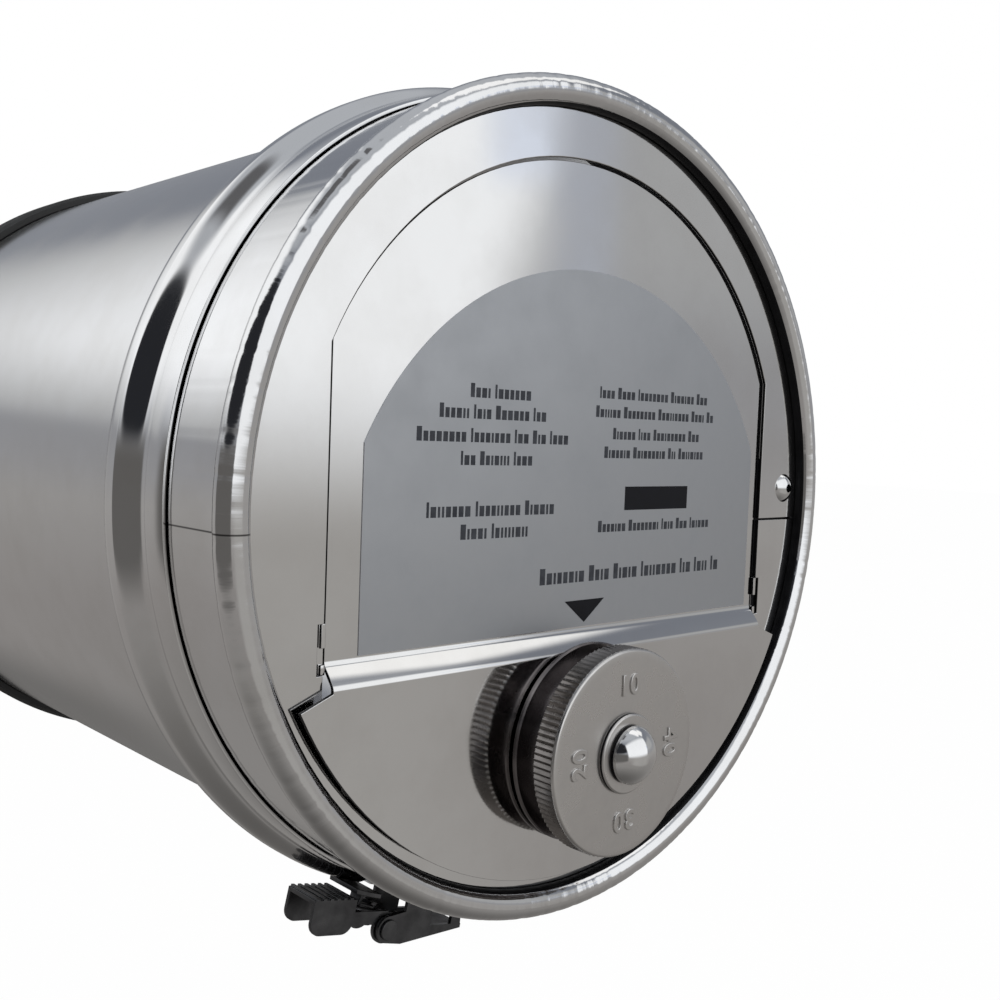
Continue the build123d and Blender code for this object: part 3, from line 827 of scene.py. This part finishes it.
def sheet_material(name, colour, stain, clean, dull, line_scale, line_height, wave_height, sleeve=False):
    """Rolled stainless sheet: clean and dull are its roughness away from and inside the smudges.

    The sleeve's sheet also has a seam along its side and creases across its bead.
    """
    made, tree, shader, place = new_material(name)
    rolling = {"Vector": place, "Line Scale": line_scale, "Wave Height": wave_height,
               "Line Height": line_height}
    sheet = put(tree, "ShaderNodeGroup", rolling, node_tree=rolled_sheet)
    smudge = sheet.outputs["Smudge"]
    height = sheet.outputs["Height"]
    rough = spread(tree, smudge, 0.0, 1.0, clean, dull)
    shade = blend(tree, smudge, colour, stain)
    if sleeve:
        height = maths(tree, "ADD", height, crease_height(tree, place))
        shade = blend(tree, seam_line(tree, place), shade, (0.12, 0.12, 0.12))
    join_finish(tree, shader, 1.0, shade, rough, height, 1.0, 1.0)
    return made


def turned_material(name, colour, stain, clean, dull):
    """Turned steel: fine rings round the knob's axis."""
    made, tree, shader, place = new_material(name)
    centring = {"Vector": place, "Location": (0, 0, -knob_z), "Scale": (1, 0, 1)}
    centred = put(tree, "ShaderNodeMapping", centring).outputs[0]
    turning = {"Vector": centred, "Scale": 1500.0, "Distortion": 1.5, "Detail": 2.0, "Detail Scale": 300.0}
    rings = put(tree, "ShaderNodeTexWave", turning, wave_type="RINGS", rings_direction="Y").outputs["Fac"]
    mask = spread(tree, noise(tree, place, 240.0, 5.0), 0.4, 0.7)
    rough = spread(tree, mask, 0.0, 1.0, clean, dull)
    shade = blend(tree, mask, colour, stain)
    join_finish(tree, shader, 1.0, shade, rough, rings, 0.06, 4e-6)
    return made


def mottled_material(name, metallic, colour, other, clean, dull, scale, relief):
    """A finish that varies in small blotches: foil, the latch's steel with its painted dark reflection,
    rubber, ink, and the painted shade on edges and in hollows.
    """
    made, tree, shader, place = new_material(name)
    mask = spread(tree, noise(tree, place, scale, 5.0, 0.55), 0.35, 0.7)
    rough = spread(tree, mask, 0.0, 1.0, clean, dull)
    shade = blend(tree, mask, colour, other)
    grain = noise(tree, place, scale * 12)
    join_finish(tree, shader, metallic, shade, rough, grain, 1.0, relief)
    return made


bright_sheet = sheet_material(
    "polished round sheet", colour=(0.78, 0.78, 0.785), stain=(0.72, 0.715, 0.71), clean=0.07, dull=0.13,
    line_scale=(40, 900, 40), line_height=4e-7, wave_height=2e-5)
body_sheet = sheet_material(
    "polished sleeve sheet", colour=(0.78, 0.78, 0.785), stain=(0.72, 0.715, 0.71), clean=0.07, dull=0.13,
    line_scale=(40, 900, 40), line_height=4e-7, wave_height=2e-5, sleeve=True)
tube_sheet = sheet_material(
    "polished tube", colour=(0.74, 0.74, 0.745), stain=(0.70, 0.695, 0.69), clean=0.13, dull=0.2,
    line_scale=(60, 1200, 60), line_height=5e-7, wave_height=3e-5)
face_sheet = sheet_material(
    "polished face sheet", colour=(0.77, 0.765, 0.76), stain=(0.72, 0.71, 0.70), clean=0.06, dull=0.11,
    line_scale=(900, 40, 60), line_height=3e-7, wave_height=4e-5)
satin_steel = turned_material(
    "satin turned steel", colour=(0.69, 0.675, 0.66), stain=(0.63, 0.615, 0.60), clean=0.26, dull=0.36)
# Painted shade on the knob's rear flange and waist: a darker copy of the turned steel.
rear_painted_shade = turned_material(
    "turned steel with painted shade", colour=(0.19, 0.175, 0.175), stain=(0.13, 0.118, 0.12), clean=0.2, dull=0.32)
# Painted dark reflection on the knob's knurl: a darker copy of the turned steel.
knurl_painted_reflection = turned_material(
    "knurl with painted dark reflection", colour=(0.30, 0.28, 0.27), stain=(0.24, 0.225, 0.215), clean=0.24, dull=0.34)
chrome = mottled_material(
    "bright chrome", metallic=1.0, colour=(0.80, 0.80, 0.80), other=(0.74, 0.74, 0.74),
    clean=0.04, dull=0.1, scale=300.0, relief=2e-7)
foil = mottled_material(
    "satin label foil", metallic=1.0, colour=(0.50, 0.515, 0.54), other=(0.47, 0.485, 0.51),
    clean=0.38, dull=0.48, scale=90.0, relief=1.5e-6)
# The latch's dark colour is painted dark reflection.
latch_steel = mottled_material(
    "dark pressed steel", metallic=1.0, colour=(0.13, 0.132, 0.138), other=(0.07, 0.07, 0.074),
    clean=0.26, dull=0.46, scale=220.0, relief=6e-6)
# Near-black painted shade for cut edges, hollows, the sleeve's inside and the backs of small parts.
edge_painted_shade = mottled_material(
    "painted shade on edges", metallic=1.0, colour=(0.022, 0.022, 0.024), other=(0.03, 0.03, 0.032),
    clean=0.45, dull=0.6, scale=300.0, relief=2e-6)
# Grey painted shade for the face's sunk rim beside the bead.
shaded_fold = mottled_material(
    "shaded fold", metallic=1.0, colour=(0.22, 0.22, 0.225), other=(0.17, 0.17, 0.175),
    clean=0.3, dull=0.45, scale=300.0, relief=2e-6)
rubber = mottled_material(
    "black rubber", metallic=0.0, colour=(0.012, 0.012, 0.012), other=(0.022, 0.022, 0.022),
    clean=0.55, dull=0.75, scale=400.0, relief=2e-5)
ink_black = mottled_material(
    "black ink", metallic=0.0, colour=(0.006, 0.006, 0.008), other=(0.01, 0.01, 0.013),
    clean=0.5, dull=0.65, scale=500.0, relief=2e-6)
ink_grey = mottled_material(
    "dark grey ink", metallic=0.0, colour=(0.03, 0.032, 0.038), other=(0.055, 0.058, 0.066),
    clean=0.5, dull=0.65, scale=500.0, relief=2e-6)
for matt in (ink_black, ink_grey):
    matt.node_tree.nodes["Principled BSDF"].inputs["Specular IOR Level"].default_value = 0.15


# Finished pieces

def dress(piece, material, body, slot, *stands_for):
    """Gives a finished piece its material and its body, and hides the nodes that it stands for; the slot is
    not used.
    """
    piece.data.materials.clear()
    piece.data.materials.append(material)
    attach(piece, body)
    if stands_for:
        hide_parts(*stands_for)


def paint_shade(piece, dark, hidden):
    """Paints shade: gives a dark material to the faces that hidden() picks, as painted shade on cut edges,
    in hollows and on backs, and as painted dark reflection on the knob's knurl.
    """
    piece.data.materials.append(dark)
    place = len(piece.data.materials) - 1
    for side in piece.data.polygons:
        if hidden(side.center, side.normal):
            side.material_index = place


def cut_edge(at, out):
    """Whether a face of a flat piece looks to its side."""
    return abs(out.y) < edge_slope


# Faces under the bead's roll and on the sleeve's inner wall, which take painted shade.
def sleeve_inside(at, out):
    under_bead = hypot(at.x, at.z) < bead_ring_r - 0.8 * bead_r
    looks_in = at.x * out.x + at.z * out.z < 0
    return under_bead or (at.y > bead_y + bead_r and looks_in)


def paint_node(node, material):
    """A piece that keeps its packed form and takes a finished material."""
    for place in nodes[node].material_slots:
        place.material = material


dress(make_tube(), tube_sheet, "housing", "polished_steel", "flue_tube")
dress(make_seal(), rubber, "housing", "black_rubber", "spigot_seal")
sleeve = make_body()
dress(sleeve, body_sheet, "housing", "polished_steel", "regulator_body")
# Painted shade under the bead's roll and on the sleeve's inner wall.
paint_shade(sleeve, edge_painted_shade, sleeve_inside)
dress(make_band(), bright_sheet, "housing", "polished_steel", "clamp_band")
face = pressed_copy("face_plate", sheet_edge)
dress(face, face_sheet, "housing", "polished_steel", "face_plate")
# Painted shade on the face's sunk rim beside the bead.
paint_shade(face, shaded_fold, lambda at, out: out.y < -0.9 and at.y > face_back - rim_drop)
# Painted shade on the face's cut edges.
paint_shade(face, edge_painted_shade, cut_edge)
flap = pressed_copy("flap_plate", sheet_edge, round_fold)
dress(flap, face_sheet, "flap", "polished_steel", "flap_plate")
# Painted shade on the flap's cut edges.
paint_shade(flap, edge_painted_shade, cut_edge)
rivet = make_rivet()
dress(rivet, chrome, "housing", "bright_steel", "bracket_rivet")
# Painted shade in the rivet's hole.
paint_shade(rivet, edge_painted_shade, lambda at, out: hypot(at.x - rivet_axis[0], at.z - rivet_axis[1]) < rivet_hole_r)
knob = make_knob()
dress(knob, satin_steel, "weight_dial", "satin_steel", "weight_knob")
# Painted dark reflection on the sides of the knurl.
paint_shade(knob, knurl_painted_reflection, lambda at, out: abs(out.y) < 0.5 and at.y > knob_front + knob_nose)
# Painted shade on the knob's rear flange and waist.
paint_shade(knob, rear_painted_shade, lambda at, out: at.y > knurl_back - flat_gap)
dress(make_dial_numbers(), satin_steel, "weight_dial", "satin_steel")
washer = make_washer()
dress(washer, satin_steel, "weight_cap", "satin_steel", "knob_washer")
# Painted shade on the washer's sides.
paint_shade(washer, edge_painted_shade, cut_edge)
cap = make_cap()
dress(cap, chrome, "weight_cap", "bright_steel", "knob_cap")
# Painted shade on the nut's neck and rear.
paint_shade(cap, edge_painted_shade, lambda at, out: at.y > cap_back - cap_shade)
dress(make_stud(), chrome, "flap", "bright_steel", "weight_stud")
dress(make_print_rows(), ink_grey, "flap", "label_foil")
dress(make_print_fields(), ink_black, "flap", "label_foil")
for hand in ("right", "left"):
    bracket = pressed_copy(f"pivot_bracket_{hand}", sheet_edge)
    dress(bracket, face_sheet, "housing", "polished_steel", f"pivot_bracket_{hand}")
    # Painted shade on the brackets' cut edges and on their upper part.
    paint_shade(bracket, edge_painted_shade, lambda at, out: cut_edge(at, out) or at.z > bracket_shade_z)
latch_bodies = {
    "latch_base": "housing", "latch_keeper": "housing", "latch_rivets": "housing", "lever_pins": "housing",
    "latch_lever": "lever", "bail_pin": "lever", "latch_bail": "bail",
}
for node, body in latch_bodies.items():
    # The latch's pieces take steel with painted dark reflection.
    dress(pressed_copy(node, latch_edge), latch_steel, body, "latch_steel", node)
dress(pressed_copy("stud_nut", nut_edge), chrome, "flap", "bright_steel", "stud_nut")
dress(pressed_copy("pivot_pins", sheet_edge), chrome, "flap", "bright_steel", "pivot_pins")
paint_node("label_plate", foil)


# Studio

def soft_box_group():
    """A mask that is 1 inside a soft-edged rectangle or oval of the surroundings and 0 outside it."""
    group, start, end = new_group(
        "soft box",
        {"Direction": "Vector", "Azimuth": "Float", "Elevation": "Float", "Half Width": "Float",
         "Half Height": "Float", "Feather Side": "Float", "Feather Level": "Float", "Round": "Float"},
        {"Mask": "Float"})
    given = start.outputs
    back = maths(group, "MULTIPLY", given["Azimuth"], -1.0)
    level = put(group, "ShaderNodeVectorRotate", {"Vector": given["Direction"], "Angle": back},
                rotation_type="Z_AXIS").outputs[0]
    facing = put(group, "ShaderNodeVectorRotate", {"Vector": level, "Angle": given["Elevation"]},
                 rotation_type="Y_AXIS").outputs[0]
    parts = put(group, "ShaderNodeSeparateXYZ", {0: facing}).outputs
    ahead = maths(group, "MAXIMUM", parts["X"], 0.001)
    masks = []
    shares = []
    for axis, size, feather in (("Y", "Half Width", "Feather Side"), ("Z", "Half Height", "Feather Level")):
        away = maths(group, "ABSOLUTE", maths(group, "DIVIDE", parts[axis], ahead))
        outer = maths(group, "ADD", given[size], given[feather])
        inner = maths(group, "SUBTRACT", given[size], given[feather])
        masks.append(spread(group, away, outer, inner, interpolation_type="SMOOTHSTEP"))
        shares.append(maths(group, "DIVIDE", away, given[size]))
    both = maths(group, "MULTIPLY", *masks)
    point = put(group, "ShaderNodeCombineXYZ", {"X": shares[0], "Y": shares[1]}).outputs[0]
    reach = put(group, "ShaderNodeVectorMath", {0: point}, operation="LENGTH").outputs["Value"]
    oval = spread(group, reach, 1.15, 0.85, interpolation_type="SMOOTHSTEP")
    mask = put(group, "ShaderNodeMix", {"Factor": given["Round"], "A": both, "B": oval})
    group.links.new(mask.outputs["Result"], end.inputs["Mask"])
    return group


def light_studio():
    """Plain soft surroundings: a grey room with pale soft boxes, shown as plain white to the camera."""
    world = bpy.data.worlds.new("studio")
    bpy.context.scene.world = world
    world.use_nodes = True
    tree = world.node_tree
    tree.nodes.clear()
    group = soft_box_group()
    direction = put(tree, "ShaderNodeTexCoord").outputs["Generated"]
    height = put(tree, "ShaderNodeSeparateXYZ", {0: direction}).outputs["Z"]
    shown = ramp(tree, spread(tree, height, -1.0, 1.0), [
        (0.0, (0.12, 0.115, 0.11)),
        (0.2, (0.27, 0.26, 0.25)),
        (0.34, (0.30, 0.285, 0.275)),
        (0.46, (0.37, 0.36, 0.35)),
        (0.51, (0.34, 0.34, 0.35)),
        (0.66, (0.26, 0.275, 0.305)),
        (0.8, (0.21, 0.225, 0.26)),
        (0.92, (0.5, 0.52, 0.55)),
    ])
    sockets = ("Round", "Azimuth", "Elevation", "Half Width", "Half Height", "Feather Side", "Feather Level")
    boxes = [
        # oval or not, azimuth, elevation, half width, half height, side feather, level feather, colour
        (0, 108, 25, 0.36, 0.325, 0.08, 0.03, (0.47, 0.475, 0.48)),
        (0, 135, 35, 0.70, 0.39, 0.30, 0.165, (1.12, 1.135, 1.15)),
        (0, 185, -6, 1.3, 0.30, 0.2, 0.12, (0.13, 0.125, 0.12)),
        (0, 190, 70, 0.25, 0.16, 0.08, 0.06, (0.13, 0.13, 0.135)),
        (1, 190, 28, 0.95, 0.344, 0.10, 0.06, (0.022, 0.023, 0.027)),
        (0, 70, -20, 0.28, 0.20, 0.12, 0.10, (0.17, 0.165, 0.16)),
        (0, 330, 15, 0.35, 0.17, 0.12, 0.08, (0.43, 0.435, 0.44)),
        (0, 285, -16, 0.55, 0.25, 0.25, 0.08, (0.40, 0.39, 0.375)),
        (0, 275.5, 24, 0.80, 0.475, 0.07, 0.13, (1.07, 1.09, 1.11)),
        (0, 313.8, 16, 0.030, 0.06, 0.012, 0.02, (0.82, 0.88, 1.0)),
        (0, 316.8, 12, 0.026, 0.09, 0.012, 0.02, (0.45, 0.475, 0.53)),
        (0, 325, 64, 0.17, 0.25, 0.05, 0.04, (1.15, 1.15, 1.15)),
        (0, 338, 47, 0.14, 0.12, 0.05, 0.04, (1.12, 1.12, 1.11)),
    ]
    for oval, azimuth, elevation, *reach, colour in boxes:
        values = (oval, radians(azimuth), radians(elevation), *reach)
        inputs = {"Direction": direction, **dict(zip(sockets, values))}
        box = put(tree, "ShaderNodeGroup", inputs, node_tree=group)
        shown = blend(tree, box.outputs["Mask"], shown, colour)
    path = put(tree, "ShaderNodeLightPath").outputs
    straight = maths(tree, "MAXIMUM", path["Is Camera Ray"], path["Is Transmission Ray"])
    seen = blend(tree, straight, shown, (1, 1, 1))
    background = put(tree, "ShaderNodeBackground", {"Color": seen, "Strength": 1.0})
    put(tree, "ShaderNodeOutputWorld", {"Surface": background.outputs[0]})


def lay_floor():
    """A plain pale floor below the part, white to the camera apart from a share of its soft shadow."""
    floor_size = 16.0
    floor_z = -0.3
    white_share = 0.985
    bpy.ops.object.select_all(action="DESELECT")
    bpy.ops.mesh.primitive_plane_add(size=floor_size, location=(0, 0, floor_z))
    floor = new_piece("floor")
    made, tree, shader, place = new_material("pale floor")
    speckle = noise(tree, place, 40.0)
    tone = ramp(tree, speckle, [(0.3, (0.80, 0.80, 0.80)), (0.7, (0.84, 0.84, 0.84))])
    tree.links.new(tone, shader.inputs["Base Color"])
    shader.inputs["Roughness"].default_value = 0.8
    white = put(tree, "ShaderNodeEmission", {"Color": (1, 1, 1, 1), "Strength": 1.0}).outputs[0]
    path = put(tree, "ShaderNodeLightPath").outputs
    share = maths(tree, "MULTIPLY", path["Is Camera Ray"], white_share)
    mixed = put(tree, "ShaderNodeMixShader", {0: share, 1: shader.outputs[0], 2: white}).outputs[0]
    tree.links.new(mixed, tree.nodes["Material Output"].inputs["Surface"])
    floor.data.materials.append(made)
    floor.visible_glossy = False


def hang_lamp():
    """One large soft lamp above and behind the camera."""
    bpy.ops.object.light_add(type="AREA", location=(-0.5, -1.5, 0.9))
    lamp = bpy.context.object
    lamp.data.shape = "RECTANGLE"
    lamp.data.size = 1.4
    lamp.data.size_y = 0.9
    lamp.data.energy = 9.0
    aim = Vector((0, -0.15, 0)) - lamp.location
    lamp.rotation_mode = "QUATERNION"
    lamp.rotation_quaternion = aim.to_track_quat("-Z", "Y")
    lamp.visible_glossy = False


def place_camera():
    """The camera at the photograph's place: to the left of the face and close to it."""
    right = Vector((0.73074, -0.68161, 0.03779))
    up = Vector((0.01417, 0.07050, 0.99741))
    ahead = Vector((0.68251, 0.72831, -0.06117))
    stand = Vector((-0.15416, -0.35603, 0.01291))
    bpy.ops.object.camera_add()
    camera = bpy.context.object
    turn = Matrix((right, up, -ahead)).transposed().to_4x4()
    camera.matrix_world = Matrix.Translation(stand) @ turn
    camera.data.sensor_width = 36.0
    camera.data.lens = 40.33
    camera.data.clip_start = 0.01
    bpy.context.scene.camera = camera


light_studio()
lay_floor()
hang_lamp()
place_camera()
bpy.context.scene.view_settings.view_transform = "Standard"
